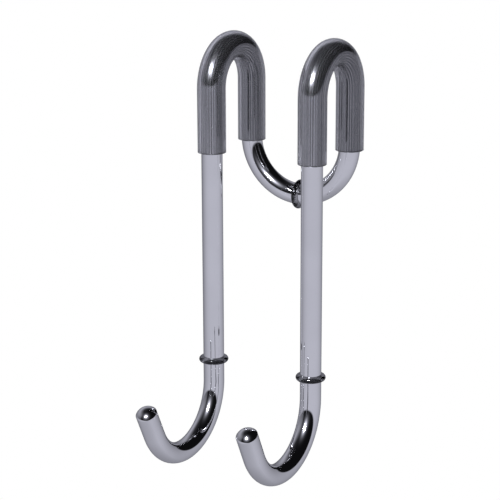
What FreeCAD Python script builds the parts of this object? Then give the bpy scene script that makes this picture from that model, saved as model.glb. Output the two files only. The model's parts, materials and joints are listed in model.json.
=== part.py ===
"""Double towel hook that hangs over the top edge of a glass door.

One round bar is bent into two hooks, two loops that go over the door's edge and a bow
behind the door. A soft tube covers each loop, and three soft rings keep the bare bar off
the glass. +Z is up, +Y points from the hooks to the bow, and the origin is the point
midway between the loops where the middle of the door's top edge meets their undersides.
"""
import FreeCAD, Part  # noqa: E401  FreeCAD has to come first
import os
from math import cos, radians, sin, sqrt

Vector = FreeCAD.Vector

# Driving dimensions, in millimetres and degrees.
ROD_RADIUS = 3.0
HOOK_SPACING = 32.0  # between the centrelines of the two hooks
LOOP_RADIUS = 11.0  # centreline of the half turn over the door
SHANK_LENGTH = 85.0  # straight bar from the loop down to the hook
HOOK_RADIUS = 16.5  # centreline of the hook's bend
HOOK_ANGLE = 154.0
TIP_LENGTH = 8.65  # straight bar from the hook's bend to the edge of its domed end
CROWN_RADIUS = 3.55  # the dome on the bar's end
KNUCKLE_RADIUS = 0.15  # the rounding between the dome and the bar's side
REAR_LEG_LENGTH = 16.5  # straight bar from the loop down to the bow

SLEEVE_RADIUS = 4.0
SLEEVE_LEG_LENGTH = 18.0  # how far the tube runs down past the loop on both sides
SLEEVE_EDGE_RADIUS = 0.3

RING_SECTION_RADIUS = 0.8
RING_RADIUS = 3.45  # from the bar's axis to the middle of a ring's section
RING_CLEARANCE = 0.05  # between the bar and the flat that it presses into a ring
RING_HEIGHT = 6.1  # from the start of the hook's bend up to the ring

# Places that follow from them.
BOW_RADIUS = HOOK_SPACING / 2
LOOP_CENTRE_Z = SLEEVE_RADIUS - LOOP_RADIUS
HOOK_TOP_Z = LOOP_CENTRE_Z - SHANK_LENGTH
BOW_CENTRE_Z = LOOP_CENTRE_Z - REAR_LEG_LENGTH

UP = Vector(0, 0, 1)
BACK = Vector(0, 1, 0)
FORWARD = Vector(0, -1, 0)
RIGHT = Vector(1, 0, 0)
SIDES = {"left": -1, "right": 1}


class Bar:
    """Round bar laid out from one end to the other, as straights and tangent bends."""

    def __init__(self, start, heading, radius):
        self.point = start
        self.heading = heading
        self.radius = radius
        self.pieces = []

    def section(self):
        circle = Part.Circle(self.point, self.heading, self.radius)
        return Part.Face(Part.Wire(circle.toShape()))

    def straight(self, length):
        run = self.heading * length
        self.pieces.append(self.section().extrude(run))
        self.point = self.point + run

    def bend(self, radius, angle, inward):
        """Turns by angle about a centre that lies in the direction inward."""
        centre = self.point + inward * radius
        axis = self.heading.cross(inward)
        self.pieces.append(self.section().revolve(centre, axis, angle))
        turn = FreeCAD.Rotation(axis, angle)
        self.point = centre - turn.multVec(inward * radius)
        self.heading = turn.multVec(self.heading)

    def solid(self, *more):
        """The bar with more shapes joined to it, and no seams left across it."""
        first, *rest = self.pieces
        return first.multiFuse([*rest, *more]).removeSplitter().Solids[0]


def tip_start(side):
    """Where a hook's bend ends and its straight tip starts, and the tip's direction."""
    turn = radians(HOOK_ANGLE)
    reach = HOOK_RADIUS * (1 - cos(turn))
    drop = HOOK_RADIUS * sin(turn)
    start = Vector(side * HOOK_SPACING / 2, -LOOP_RADIUS - reach, HOOK_TOP_Z - drop)
    return start, Vector(0, -sin(turn), -cos(turn))


def domed_end(side):
    """The last stretch of a hook's tip, where the bar is domed and its rim rounded."""
    start, outward = tip_start(side)
    rim_centre = start + outward * TIP_LENGTH
    crown_centre = rim_centre - outward * sqrt(CROWN_RADIUS**2 - ROD_RADIUS**2)
    stub = Part.makeCylinder(ROD_RADIUS, 2 * ROD_RADIUS, rim_centre - outward * ROD_RADIUS, outward)
    domed = stub.common(Part.makeSphere(CROWN_RADIUS, crown_centre, outward))
    rim = [edge for edge in domed.Edges if edge.CenterOfMass.distanceToPoint(rim_centre) < KNUCKLE_RADIUS]
    return domed.makeFillet(KNUCKLE_RADIUS, rim)


def hook_rod():
    """The bar, from the left hook's tip over the door, round the bow and back."""
    start, outward = tip_start(SIDES["left"])
    straight_tip = TIP_LENGTH - ROD_RADIUS
    bar = Bar(start + outward * straight_tip, -outward, ROD_RADIUS)
    into_hook = outward.cross(RIGHT)
    bar.straight(straight_tip)
    bar.bend(HOOK_RADIUS, HOOK_ANGLE, into_hook)
    bar.straight(SHANK_LENGTH)
    bar.bend(LOOP_RADIUS, 180, BACK)
    bar.straight(REAR_LEG_LENGTH)
    bar.bend(BOW_RADIUS, 180, RIGHT)
    bar.straight(REAR_LEG_LENGTH)
    bar.bend(LOOP_RADIUS, 180, FORWARD)
    bar.straight(SHANK_LENGTH)
    bar.bend(HOOK_RADIUS, HOOK_ANGLE, FORWARD)
    bar.straight(straight_tip)
    return bar.solid(*[domed_end(side) for side in SIDES.values()])


def loop_sleeve(side, rod):
    """The soft tube over one loop, cut square at both ends. Its bore is the bar."""
    front_end = Vector(side * HOOK_SPACING / 2, -LOOP_RADIUS, LOOP_CENTRE_Z - SLEEVE_LEG_LENGTH)
    tube = Bar(front_end, UP, SLEEVE_RADIUS)
    tube.straight(SLEEVE_LEG_LENGTH)
    tube.bend(LOOP_RADIUS, 180, BACK)
    tube.straight(SLEEVE_LEG_LENGTH)
    outside = tube.solid()
    end_rims = [edge for edge in outside.Edges if abs(edge.BoundBox.ZMax - front_end.z) < SLEEVE_EDGE_RADIUS]
    return outside.makeFillet(SLEEVE_EDGE_RADIUS, end_rims).cut(rod).Solids[0]


def bumper_ring(centre, axis):
    """A ring of round section, pressed flat where it grips the bar."""
    ring = Part.makeTorus(RING_RADIUS, RING_SECTION_RADIUS, centre, axis)
    width = 2 * RING_SECTION_RADIUS
    bore = Part.makeCylinder(ROD_RADIUS + RING_CLEARANCE, width, centre - axis * RING_SECTION_RADIUS, axis)
    return ring.cut(bore).Solids[0]


def shank_ring(side):
    centre = Vector(side * HOOK_SPACING / 2, -LOOP_RADIUS, HOOK_TOP_Z + RING_HEIGHT)
    return bumper_ring(centre, UP)


def bow_ring():
    return bumper_ring(Vector(0, LOOP_RADIUS, BOW_CENTRE_Z - BOW_RADIUS), RIGHT)


def main():
    rod = hook_rod()
    parts = {"hook_rod": rod, "bumper_ring_rear": bow_ring()}
    for name, side in SIDES.items():
        parts[f"loop_sleeve_{name}"] = loop_sleeve(side, rod)
        parts[f"bumper_ring_{name}"] = shank_ring(side)
    os.makedirs("parts", exist_ok=True)
    for node, shape in parts.items():
        shape.exportStep(f"parts/{node}.step")
        print(f"{node}: valid {shape.isValid()}, {len(shape.Faces)} faces, {shape.Volume:.1f} mm3")


main()
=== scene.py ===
"""Chrome double hook for a glass door: the looks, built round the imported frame."""
import json
from math import asin, cos, pi, radians, sin, sqrt, tau

import bpy
from mathutils import Matrix, Vector


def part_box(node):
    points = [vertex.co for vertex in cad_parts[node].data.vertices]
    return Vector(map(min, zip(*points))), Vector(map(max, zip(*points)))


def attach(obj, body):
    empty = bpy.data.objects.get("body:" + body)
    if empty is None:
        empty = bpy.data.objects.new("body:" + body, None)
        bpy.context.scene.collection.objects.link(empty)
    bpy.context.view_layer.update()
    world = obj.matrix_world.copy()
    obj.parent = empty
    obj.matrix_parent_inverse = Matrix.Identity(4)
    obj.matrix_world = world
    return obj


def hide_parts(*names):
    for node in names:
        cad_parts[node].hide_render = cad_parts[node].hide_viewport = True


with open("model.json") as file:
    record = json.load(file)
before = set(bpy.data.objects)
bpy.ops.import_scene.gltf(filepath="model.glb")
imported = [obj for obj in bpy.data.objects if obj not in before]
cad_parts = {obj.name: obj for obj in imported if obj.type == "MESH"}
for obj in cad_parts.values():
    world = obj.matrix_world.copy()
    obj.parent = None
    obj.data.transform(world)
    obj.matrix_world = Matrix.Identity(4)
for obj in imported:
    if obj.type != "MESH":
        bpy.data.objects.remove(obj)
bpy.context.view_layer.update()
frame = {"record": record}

MM = 0.001

UP = Vector((0, 0, 1))
BACK = Vector((0, 1, 0))
FORWARD = Vector((0, -1, 0))
RIGHT = Vector((1, 0, 0))
SIDES = {"left": -1, "right": 1}


# ------------------------------------------------------------------ sizes, from the frame

def mount(name):
    return next(m for m in frame["record"]["mounts"] if m["name"] == name)


def joint(name):
    return next(j for j in frame["record"]["behaviour"]["joints"] if j["name"] == name)


SLEEVE_SHORTER = 0.15 * MM  # how much higher than in the frame a tube's ends stand

TIP = mount("hook_tip_right")
SADDLE = Vector(mount("hook_saddle_right")["pos_m"])
SLEEVE_LOW, SLEEVE_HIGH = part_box("loop_sleeve_right")
RING_LOW, RING_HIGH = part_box("bumper_ring_right")

ROD = TIP["dims"]["r_mm"] * MM
HALF_SPACING = SADDLE.x
SLEEVE = (SLEEVE_HIGH[0] - SLEEVE_LOW[0]) / 2
SLEEVE_END_Z = SLEEVE_LOW[2] + SLEEVE_SHORTER
LOOP = SLEEVE_HIGH[1] - SLEEVE
LOOP_Z = SLEEVE - LOOP
SLEEVE_LEG = LOOP_Z - SLEEVE_END_Z
HOOK = -SADDLE.y - LOOP
HOOK_Z = SADDLE.z + HOOK - ROD
HOOK_ANGLE = pi - asin(-TIP["axis"][1])
TIP_STRAIGHT = TIP["dims"]["length_mm"] * MM
BOW = HALF_SPACING
BOW_Z = joint("ring_rear_slide")["pos_m"][2]
RING_SECTION = (RING_HIGH[2] - RING_LOW[2]) / 2
RING = (RING_HIGH[0] - RING_LOW[0]) / 2 - RING_SECTION
RING_Z = (RING_HIGH[2] + RING_LOW[2]) / 2

CROWN = 3.55 * MM  # radius of the dome on each end of the bar
KNUCKLE = 0.15 * MM  # the rounding between the dome and the bar's side
WALL_GAP = 0.03 * MM  # keeps the tube's bore and the bar's chrome apart
SLEEVE_EDGE = 0.10 * MM  # the rounding of a tube's cut end
HOLD = 0.03 * MM  # a ring of points this near a corner keeps the corner's shading from spreading
GRIP_GAP = 0.05 * MM  # between the bar and the flat inside of a ring

FLUTES = 32  # fine lengthwise lines round a tube
FLUTE_DEPTH = 0.006 * MM
CREASE_PITCH = 0.55 * MM  # crosswise creases where a tube is bent
CREASE_DEPTH = 0.006 * MM
CREASE_FADE = 2.0 * MM
SHADED_SIDE = 0.06  # the turn round a tube, from its right, where painted shade darkens its wall most
RIDGE = 0.012 * MM  # the parting ridge round a ring
RIDGE_SHARPNESS = 12

ROD_SIDES = 96
TIP_STEPS = 8
HOOK_STEPS = 110
SHANK_STEPS = 60
LOOP_STEPS = 90
LEG_STEPS = 12
BOW_STEPS = 110
KNUCKLE_STEPS = 8
CROWN_STEPS = 32
TUBE_SIDES = FLUTES * 7
TUBE_LEG_STEPS = 24
TUBE_BEND_STEPS = 252
TUBE_EDGE_STEPS = 6
BORE_STRIDE = 3  # the bore has a ring of points at every third station
BORE_MARGIN = 4  # and none this near to the tube's ends
RING_STEPS = 160
RING_SIDES = 56


# ------------------------------------------------------------------ mesh work

class Route:
    """The middle line of a bar as stations: a point, two directions across, the way so far."""

    def __init__(self, point, heading, across):
        self.point = point.copy()
        self.heading = heading.copy()
        self.across = across.copy()
        self.length = 0.0
        self.stations = []
        self.mark()

    def mark(self):
        other = self.heading.cross(self.across)
        self.stations.append((self.point.copy(), self.across.copy(), other, self.length))

    def straight(self, length, steps):
        for _ in range(steps):
            self.point += self.heading * (length / steps)
            self.length += length / steps
            self.mark()

    def bend(self, radius, angle, inward, steps):
        """Turns by angle about a centre that lies in the direction inward."""
        centre = self.point + inward * radius
        turn = Matrix.Rotation(angle / steps, 3, self.heading.cross(inward))
        for _ in range(steps):
            self.point = centre + turn @ (self.point - centre)
            self.heading = turn @ self.heading
            self.across = turn @ self.across
            self.length += radius * angle / steps
            self.mark()


def shifted(station, by):
    point, across, other, length = station
    return point + by, across, other, length


def ring_of(station, radius, sides=ROD_SIDES):
    """One ring of points round a station. radius is a number or a function of the turn."""
    point, across, other, _ = station
    ring = []
    for j in range(sides):
        turn = tau * j / sides
        reach = radius(turn) if callable(radius) else radius
        ring.append(point + across * (reach * cos(turn)) + other * (reach * sin(turn)))
    return ring


def new_piece(name, verts, faces, uvs=None):
    mesh = bpy.data.meshes.new(name)
    mesh.from_pydata(verts, [], faces)
    if uvs is not None:
        layer = mesh.uv_layers.new(name="lay")
        for loop, uv in zip(layer.data, uvs):
            loop.uv = uv
    mesh.validate()
    mesh.polygons.foreach_set("use_smooth", [True] * len(mesh.polygons))
    mesh.update()
    piece = bpy.data.objects.new(name, mesh)
    bpy.context.scene.collection.objects.link(piece)
    return piece


def skin(name, rings, lays, closed):
    """A piece through rings of points. closed joins the last ring to the first, else both
    ends are closed by a point. Its UV map holds the turn round it and the way along it."""
    sides = len(rings[0])
    verts = [p for ring in rings for p in ring]
    faces, uvs = [], []

    def corner(i, j):
        return i * sides + j % sides

    def lay(i, j):
        return j / sides, lays[i]

    spans = len(rings) if closed else len(rings) - 1
    for i in range(spans):
        k = (i + 1) % len(rings)
        for j in range(sides):
            faces.append((corner(i, j), corner(i, j + 1), corner(k, j + 1), corner(k, j)))
            uvs += [lay(i, j), lay(i, j + 1), lay(k, j + 1), lay(k, j)]
    if not closed:
        for i, flip in ((0, True), (len(rings) - 1, False)):
            pole = len(verts)
            verts.append(sum((Vector(p) for p in rings[i]), Vector()) / sides)
            for j in range(sides):
                fan = (corner(i, j), corner(i, j + 1), pole)
                faces.append(fan[::-1] if flip else fan)
                fan_uvs = [lay(i, j), lay(i, j + 1), lay(i, j + 0.5)]
                uvs += fan_uvs[::-1] if flip else fan_uvs
    return new_piece(name, verts, faces, uvs)


# ------------------------------------------------------------------ the bar

def end_profile():
    """How far past the straight bar, and how wide, each ring of a domed end is."""
    knuckle_centre = ROD - KNUCKLE
    crown_back = sqrt((CROWN - KNUCKLE) ** 2 - knuckle_centre ** 2)
    meet = asin(knuckle_centre / (CROWN - KNUCKLE))
    profile = []
    for k in range(1, KNUCKLE_STEPS + 1):
        a = (pi / 2 - meet) * k / KNUCKLE_STEPS
        profile.append((KNUCKLE * sin(a), knuckle_centre + KNUCKLE * cos(a)))
    for k in range(1, CROWN_STEPS):
        a = meet * (1 - k / CROWN_STEPS)
        profile.append((CROWN * cos(a) - crown_back, CROWN * sin(a)))
    return profile


def rod_route(outward):
    """From the left hook's tip over the door, round the bow and back to the right hook's tip."""
    reach = HOOK * (1 - cos(HOOK_ANGLE))
    bend_end = Vector((-HALF_SPACING, -LOOP - reach, HOOK_Z - HOOK * sin(HOOK_ANGLE)))
    route = Route(bend_end + outward * TIP_STRAIGHT, -outward, RIGHT)
    shank = LOOP_Z - HOOK_Z
    leg = LOOP_Z - BOW_Z
    route.straight(TIP_STRAIGHT, TIP_STEPS)
    route.bend(HOOK, HOOK_ANGLE, outward.cross(RIGHT), HOOK_STEPS)
    route.straight(shank, SHANK_STEPS)
    route.bend(LOOP, pi, BACK, LOOP_STEPS)
    route.straight(leg, LEG_STEPS)
    route.bend(BOW, pi, RIGHT, BOW_STEPS)
    route.straight(leg, LEG_STEPS)
    route.bend(LOOP, pi, FORWARD, LOOP_STEPS)
    route.straight(shank, SHANK_STEPS)
    route.bend(HOOK, HOOK_ANGLE, FORWARD, HOOK_STEPS)
    route.straight(TIP_STRAIGHT, TIP_STEPS)
    return route


def build_rod():
    outward = Vector((0, -sin(HOOK_ANGLE), -cos(HOOK_ANGLE)))
    stations = rod_route(outward).stations
    rings = [ring_of(station, ROD) for station in stations]
    lays = [station[3] for station in stations]
    for past, wide in end_profile():
        rings.insert(0, ring_of(shifted(stations[0], outward * past), wide))
        rings.append(ring_of(shifted(stations[-1], outward * past), wide))
        lays.insert(0, stations[0][3])
        lays.append(stations[-1][3])
    return skin("chrome_bar", rings, lays, closed=False)


# ------------------------------------------------------------------ the tubes

def bar_drift(z):
    """How far the bar has left the rear leg's line at height z, on its way into the bow."""
    below = max(0.0, BOW_Z - z)
    return BOW - sqrt(BOW ** 2 - below ** 2)


def sleeve_route(side):
    route = Route(Vector((side * HALF_SPACING, -LOOP, SLEEVE_END_Z)), UP, RIGHT)
    route.straight(SLEEVE_LEG, TUBE_LEG_STEPS)
    route.bend(LOOP, pi, BACK, TUBE_BEND_STEPS)
    route.straight(SLEEVE_LEG, TUBE_LEG_STEPS)
    return route


def build_sleeve(name, side):
    route = sleeve_route(side)

    def outside(length):
        """The tube's outer radius at a way along it, as a function of the turn."""
        bent = min(length - SLEEVE_LEG, route.length - SLEEVE_LEG - length)
        share = min(1.0, max(0.0, bent / CREASE_FADE + 0.5))
        crease = CREASE_DEPTH * share * (0.5 - 0.5 * cos(tau * length / CREASE_PITCH))
        return lambda turn: SLEEVE - FLUTE_DEPTH * (0.5 - 0.5 * cos(FLUTES * turn)) - crease

    def bore(station, more=0.0):
        point = station[0]
        drift = bar_drift(point.z) if point.y > 0 else 0.0
        return ring_of(shifted(station, -RIGHT * (side * drift)), ROD + WALL_GAP + more, TUBE_SIDES)

    def end(station):
        """One end of the tube: the side, its small rounding, the cut face and the bore's mouth."""
        side_reach = outside(station[3])
        profile = [(SLEEVE_EDGE + HOLD, 0.0)]
        for k in range(TUBE_EDGE_STEPS + 1):
            a = (pi / 2) * k / TUBE_EDGE_STEPS
            profile.append((SLEEVE_EDGE * (1 - sin(a)), SLEEVE_EDGE * (1 - cos(a))))
        profile.append((0.0, SLEEVE_EDGE + HOLD))
        rings = []
        for inset, shrink in profile:
            moved = shifted(station, UP * inset)
            rings.append(ring_of(moved, lambda turn, s=shrink: side_reach(turn) - s, TUBE_SIDES))
        for inset, more in ((0.0, HOLD), (0.0, 0.0), (HOLD, 0.0)):
            rings.append(bore(shifted(station, UP * inset), more))
        return rings

    first, last = route.stations[0], route.stations[-1]
    body = route.stations[1:-1]
    inner = route.stations[-BORE_MARGIN:BORE_MARGIN - 1:-BORE_STRIDE]
    start_rings, end_rings = end(first), end(last)
    rings = [ring_of(s, outside(s[3]), TUBE_SIDES) for s in body] + end_rings
    rings += [bore(s) for s in inner] + start_rings[::-1]
    lays = [s[3] for s in body] + [last[3]] * len(end_rings)
    lays += [s[3] for s in inner] + [first[3]] * len(start_rings)
    return skin(name, rings, lays, closed=True)


# ------------------------------------------------------------------ the rings

def build_ring(name, centre, axis, across):
    """A ring of round section, flat where it faces the bar, with a fine parting ridge outside."""
    other = axis.cross(across)
    rings, lays = [], []
    for i in range(RING_STEPS):
        turn = tau * i / RING_STEPS
        out = across * cos(turn) + other * sin(turn)
        ring = []
        for j in range(RING_SIDES):
            a = tau * j / RING_SIDES
            ridge = RIDGE * max(0.0, 1 - abs(sin(a)) * RIDGE_SHARPNESS) if cos(a) > 0 else 0.0
            reach = max(ROD + GRIP_GAP, RING + (RING_SECTION - RIDGE + ridge) * cos(a))
            ring.append(centre + out * reach - axis * (RING_SECTION * sin(a)))
        rings.append(ring)
        lays.append(turn)
    return skin(name, rings, lays, closed=True)


# ------------------------------------------------------------------ materials

class Nodes:
    """Short hands for a node tree."""

    def __init__(self, tree):
        self.tree = tree

    def add(self, kind, inputs=None, **settings):
        node = self.tree.nodes.new(kind)
        for key, value in settings.items():
            setattr(node, key, value)
        for key, value in (inputs or {}).items():
            self.feed(node.inputs[key], value)
        return node

    def feed(self, socket, value):
        if isinstance(value, bpy.types.NodeSocket):
            self.tree.links.new(value, socket)
        else:
            socket.default_value = value

    def put(self, **inputs):
        """Sets inputs of the material's shader."""
        shader = self.tree.nodes["Principled BSDF"]
        for key, value in inputs.items():
            self.feed(shader.inputs[key.replace("_", " ")], value)

    def maths(self, operation, *values):
        node = self.add("ShaderNodeMath", operation=operation)
        for socket, value in zip(node.inputs, values):
            self.feed(socket, value)
        return node.outputs[0]

    def spread(self, value, low, high, to_low, to_high):
        node = self.add("ShaderNodeMapRange", {"Value": value, "From Min": low, "From Max": high,
                                               "To Min": to_low, "To Max": to_high})
        return node.outputs["Result"]

    def soft(self, value, low, high):
        node = self.add("ShaderNodeMapRange", {"Value": value, "From Min": low, "From Max": high},
                        interpolation_type="SMOOTHSTEP")
        return node.outputs["Result"]

    def mix(self, share, first, second, kind="FLOAT"):
        node = self.add("ShaderNodeMix", {"Factor": share, "A": first, "B": second}, data_type=kind)
        return node.outputs["Result"]

    def blend(self, share, first, second):
        return self.mix(share, first, second, "RGBA")

    def noise(self, vector, scale, detail):
        node = self.add("ShaderNodeTexNoise", {"Vector": vector, "Scale": scale, "Detail": detail})
        return node.outputs["Fac"]

    def place(self):
        return self.add("ShaderNodeTexCoord").outputs["Object"]

    def lay(self):
        """The turn round the piece, from 0 to 1, and the way along it, in metres."""
        uv = self.add("ShaderNodeUVMap", uv_map="lay").outputs["UV"]
        parts = self.add("ShaderNodeSeparateXYZ", {"Vector": uv}).outputs
        return parts["X"], parts["Y"]

    def streaks(self, per_turn, per_metre, detail):
        """Noise drawn out along the piece."""
        turn, along = self.lay()
        vector = self.add("ShaderNodeCombineXYZ", {"X": self.maths("MULTIPLY", turn, per_turn),
                                                   "Y": self.maths("MULTIPLY", along, per_metre)})
        return self.noise(vector.outputs[0], 1.0, detail)

    def bump(self, height, distance):
        return self.add("ShaderNodeBump", {"Height": height, "Distance": distance}).outputs["Normal"]


def new_material(name):
    material = bpy.data.materials.new(name)
    material.use_nodes = True
    return material, Nodes(material.node_tree)


def chrome():
    """Bright plate on a drawn bar: faint polishing streaks along it and a few dull smudges."""
    material, n = new_material("chrome")
    streaks = n.streaks(60.0, 90.0, 4.0)
    smudges = n.noise(n.place(), 90.0, 5.0)
    dull = n.spread(smudges, 0.45, 0.75, 0.025, 0.05)
    rough = n.maths("ADD", dull, n.spread(streaks, 0.3, 0.7, 0.0, 0.015))
    tint = n.blend(n.spread(smudges, 0.35, 0.65, 0.0, 1.0), (0.93, 0.93, 0.935, 1), (0.97, 0.97, 0.975, 1))
    n.put(Base_Color=tint, Metallic=1.0, Roughness=rough, Normal=n.bump(streaks, 0.0004 * MM))
    return material


def smoke_tube():
    """Clear smoke-grey soft tube: fine lengthwise lines, darker streaks, and painted shade that darkens one
    side.
    """
    material, n = new_material("smoke_tube")
    turn, _ = n.lay()
    lines = n.maths("SINE", n.maths("MULTIPLY", turn, tau * FLUTES))
    streaks = n.streaks(26.0, 20.0, 2.0)
    tone = n.maths("ADD", n.spread(lines, -1.0, 1.0, 0.1, 0.9), n.spread(streaks, 0.3, 0.7, -0.15, 0.15))
    # painted shade: the tube's colour is made darker round one side, from its right, to stand in for shading
    # there
    off_shaded_side = n.maths("MULTIPLY", n.maths("SUBTRACT", turn, SHADED_SIDE), tau)
    dark = n.maths("MULTIPLY", n.soft(n.maths("COSINE", off_shaded_side), 0.2, 0.9), 0.28)
    colour = n.blend(n.maths("SUBTRACT", tone, dark), (0.28, 0.28, 0.29, 1), (0.84, 0.84, 0.85, 1))
    haze = n.noise(n.place(), 260.0, 4.0)
    n.put(Base_Color=colour, Roughness=n.spread(haze, 0.3, 0.7, 0.02, 0.05), IOR=1.5)
    n.put(Transmission_Weight=0.992, Coat_Weight=0.6, Coat_Roughness=0.22)
    n.put(Normal=n.bump(haze, 0.0004 * MM))
    return material


def smoke_ring():
    """Clear smoke-grey elastomer, darker than the tubes."""
    material, n = new_material("smoke_ring")
    haze = n.noise(n.place(), 500.0, 4.0)
    colour = n.blend(haze, (0.16, 0.16, 0.165, 1), (0.32, 0.32, 0.325, 1))
    n.put(Base_Color=colour, Roughness=n.spread(haze, 0.3, 0.7, 0.02, 0.07), IOR=1.5)
    n.put(Transmission_Weight=1.0, Normal=n.bump(haze, 0.001 * MM))
    return material


# ------------------------------------------------------------------ studio
# Azimuths run from behind the door round by the right; 180 is straight in front.

CAMERA_YAW = 30.717
CAMERA_PITCH = 15.264
CAMERA_ROLL = -0.179
CAMERA_PLACE = Vector((0.22620, -0.39789, 0.07119))
CAMERA_LENS = 119.43

KEY_AZIMUTH = 170.0
KEY_HEIGHT = 38.0
KEY_DISTANCE = 1.3
KEY_AIM = Vector((0, 0, -0.05))
KEY_RADIUS = 0.16
KEY_WATTS = 115.0
KEY_TINT = (0.88, 0.90, 1.0)
GLOW = 9.2  # the soft glow round the key, and how fast it falls off
GLOW_WIDTH = radians(6.5)

ROOM_LIGHT = 0.469
ROOM_TINT = (1.0, 1.005, 1.165)
BRIGHT_AZIMUTH = 140.0  # the room below the horizon darkens away from here
DARKENING = 2.1
FAR_LEVEL = 0.28
STRAIGHT_DOWN_LEVEL = 0.78
ECHO_LEVEL = 1.05  # the same part from the second reflection on, where it is even
CEILING_LEVEL = 0.008
WALL_AZIMUTH = -60.0  # a wide pale wall at the left
WALL_END_AZIMUTH = -90.0  # it fades out a quarter turn from here, towards the back
WALL_BREADTH = 0.6
RIM_AZIMUTH = -75.0  # light through a tube's or ring's rim, past the bar, is up to doubled from here

FLOOR_Z = -0.40
FLOOR_RADIUS = 12.0
FLOOR_SIDES = 96


def direction(azimuth, height):
    a, h = radians(azimuth), radians(height)
    return Vector((sin(a) * cos(h), cos(a) * cos(h), sin(h)))


def make_camera():
    data = bpy.data.cameras.new("camera")
    data.lens = CAMERA_LENS
    data.clip_start = 0.01
    data.clip_end = 100.0
    camera = bpy.data.objects.new("camera", data)
    yaw, pitch, roll = (radians(v) for v in (CAMERA_YAW, CAMERA_PITCH, CAMERA_ROLL))
    aim = Matrix.Rotation(yaw, 4, "Z") @ Matrix.Rotation(pi / 2 - pitch, 4, "X")
    camera.matrix_world = Matrix.Translation(CAMERA_PLACE) @ aim @ Matrix.Rotation(roll, 4, "Z")
    bpy.context.scene.collection.objects.link(camera)
    bpy.context.scene.camera = camera


def make_key():
    data = bpy.data.lights.new("key", "AREA")
    data.shape = "DISK"
    data.size = 2 * KEY_RADIUS
    data.energy = KEY_WATTS
    data.color = KEY_TINT
    key = bpy.data.objects.new("key", data)
    way = direction(KEY_AZIMUTH, KEY_HEIGHT)
    key.location = way * KEY_DISTANCE + KEY_AIM
    key.rotation_mode = "QUATERNION"
    key.rotation_quaternion = way.to_track_quat("Z", "Y")
    bpy.context.scene.collection.objects.link(key)


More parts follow.
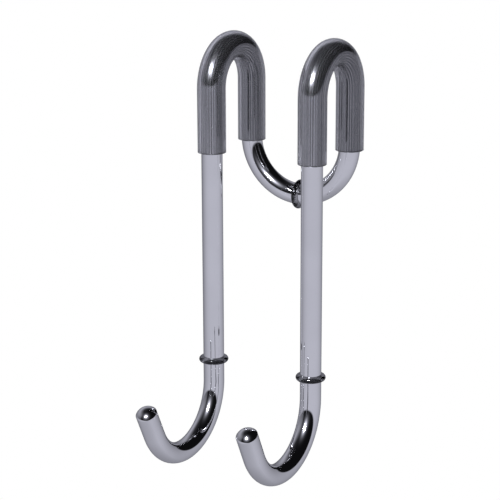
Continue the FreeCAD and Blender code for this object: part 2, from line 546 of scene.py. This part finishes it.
def make_world():
    """White for the camera. For reflections a pale room up to the horizon, darker at the far
    left; above it a dark ceiling, one pale wall at the left and a soft glow round the key."""
    world = bpy.data.worlds.new("studio")
    world.use_nodes = True
    bpy.context.scene.world = world
    n = Nodes(world.node_tree)
    way = n.add("ShaderNodeTexCoord").outputs["Generated"]
    height = n.add("ShaderNodeSeparateXYZ", {"Vector": way}).outputs["Z"]
    rays = n.add("ShaderNodeLightPath").outputs

    def towards(azimuth, elevation=0.0):
        ways = {0: way, 1: direction(azimuth, elevation)}
        return n.add("ShaderNodeVectorMath", ways, operation="DOT_PRODUCT").outputs["Value"]

    def below_horizon():
        away = n.maths("POWER", n.spread(towards(BRIGHT_AZIMUTH), 1.0, -1.0, 0.0, 1.0), DARKENING)
        level = n.maths("MULTIPLY", n.spread(away, 0.0, 1.0, 1.0, FAR_LEVEL),
                        n.spread(height, -0.75, -1.0, 1.0, STRAIGHT_DOWN_LEVEL))
        return n.mix(n.spread(rays["Glossy Depth"], 1.4, 1.6, 0.0, 1.0), level, ECHO_LEVEL)

    def above_horizon():
        foot, top = n.spread(height, 0.1, 0.4, 0.48, 0.8), n.spread(height, 0.55, 0.88, 1.0, 0.08)
        tall = n.maths("MULTIPLY", foot, top)
        ended = n.maths("MULTIPLY", tall, n.spread(towards(WALL_END_AZIMUTH), -0.05, 0.35, 0.0, 1.0))
        broad = n.maths("POWER", n.maths("MAXIMUM", towards(WALL_AZIMUTH), 0.0), WALL_BREADTH)
        off_key = n.maths("ARCCOSINE", towards(KEY_AZIMUTH, KEY_HEIGHT))
        glow = n.maths("MULTIPLY", n.maths("EXPONENT", n.maths("MULTIPLY", off_key, -1 / GLOW_WIDTH)), GLOW)
        return n.maths("ADD", n.maths("ADD", glow, n.maths("MULTIPLY", broad, ended)), CEILING_LEVEL)

    def rim_gain():
        crossed = rays["Transmission Depth"]
        entered, left_again = n.spread(crossed, 0.5, 1.5, 0.0, 1.0), n.spread(crossed, 2.5, 3.5, 1.0, 0.0)
        in_rim = n.maths("MULTIPLY", entered, left_again)
        side = n.spread(towards(RIM_AZIMUTH), 0.0, 0.6, 0.0, 1.0)
        return n.maths("ADD", n.maths("MULTIPLY", in_rim, side), 1.0)

    level = n.mix(n.spread(height, -0.03, 0.04, 0.0, 1.0), below_horizon(), above_horizon())
    lit = n.maths("MULTIPLY", level, rim_gain())
    room = n.add("ShaderNodeVectorMath", {0: lit, "Scale": ROOM_LIGHT}, operation="SCALE").outputs["Vector"]
    tinted = n.add("ShaderNodeVectorMath", {0: room, 1: ROOM_TINT}, operation="MULTIPLY").outputs["Vector"]
    background = n.tree.nodes["Background"]
    n.feed(background.inputs["Color"], n.blend(rays["Is Camera Ray"], tinted, (1, 1, 1, 1)))
    n.feed(background.inputs["Strength"], 1.0)


def make_floor():
    """A white disc that only the camera sees, so that it casts no light on the piece."""
    material, n = new_material("floor")
    n.put(Base_Color=(0, 0, 0, 1), Specular_IOR_Level=0.0, Emission_Color=(1, 1, 1, 1), Emission_Strength=1.0)
    turns = [tau * j / FLOOR_SIDES for j in range(FLOOR_SIDES)]
    rim = [Vector((FLOOR_RADIUS * cos(turn), FLOOR_RADIUS * sin(turn), FLOOR_Z)) for turn in turns]
    floor = new_piece("floor", rim, [tuple(range(FLOOR_SIDES))])
    floor.data.materials.append(material)
    floor.visible_glossy = False
    floor.visible_transmission = False
    floor.visible_diffuse = False


# ------------------------------------------------------------------ assembly

def fit(piece, material, node, body):
    piece.data.materials.append(material)
    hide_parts(node)
    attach(piece, body)


def main():
    bpy.context.scene.view_settings.view_transform = "Standard"
    fit(build_rod(), chrome(), "hook_rod", "hook")
    tube, rubber = smoke_tube(), smoke_ring()
    for name, side in SIDES.items():
        fit(build_sleeve(f"clear_tube_{name}", side), tube, f"loop_sleeve_{name}", "hook")
        centre = Vector((side * HALF_SPACING, -LOOP, RING_Z))
        ring = build_ring(f"clear_ring_{name}", centre, UP, RIGHT)
        fit(ring, rubber, f"bumper_ring_{name}", f"ring_{name}")
    bow_foot = Vector((0, LOOP, BOW_Z - BOW))
    rear = build_ring("clear_ring_rear", bow_foot, RIGHT, BACK)
    fit(rear, rubber, "bumper_ring_rear", "ring_rear")
    make_camera()
    make_key()
    make_world()
    make_floor()


main()
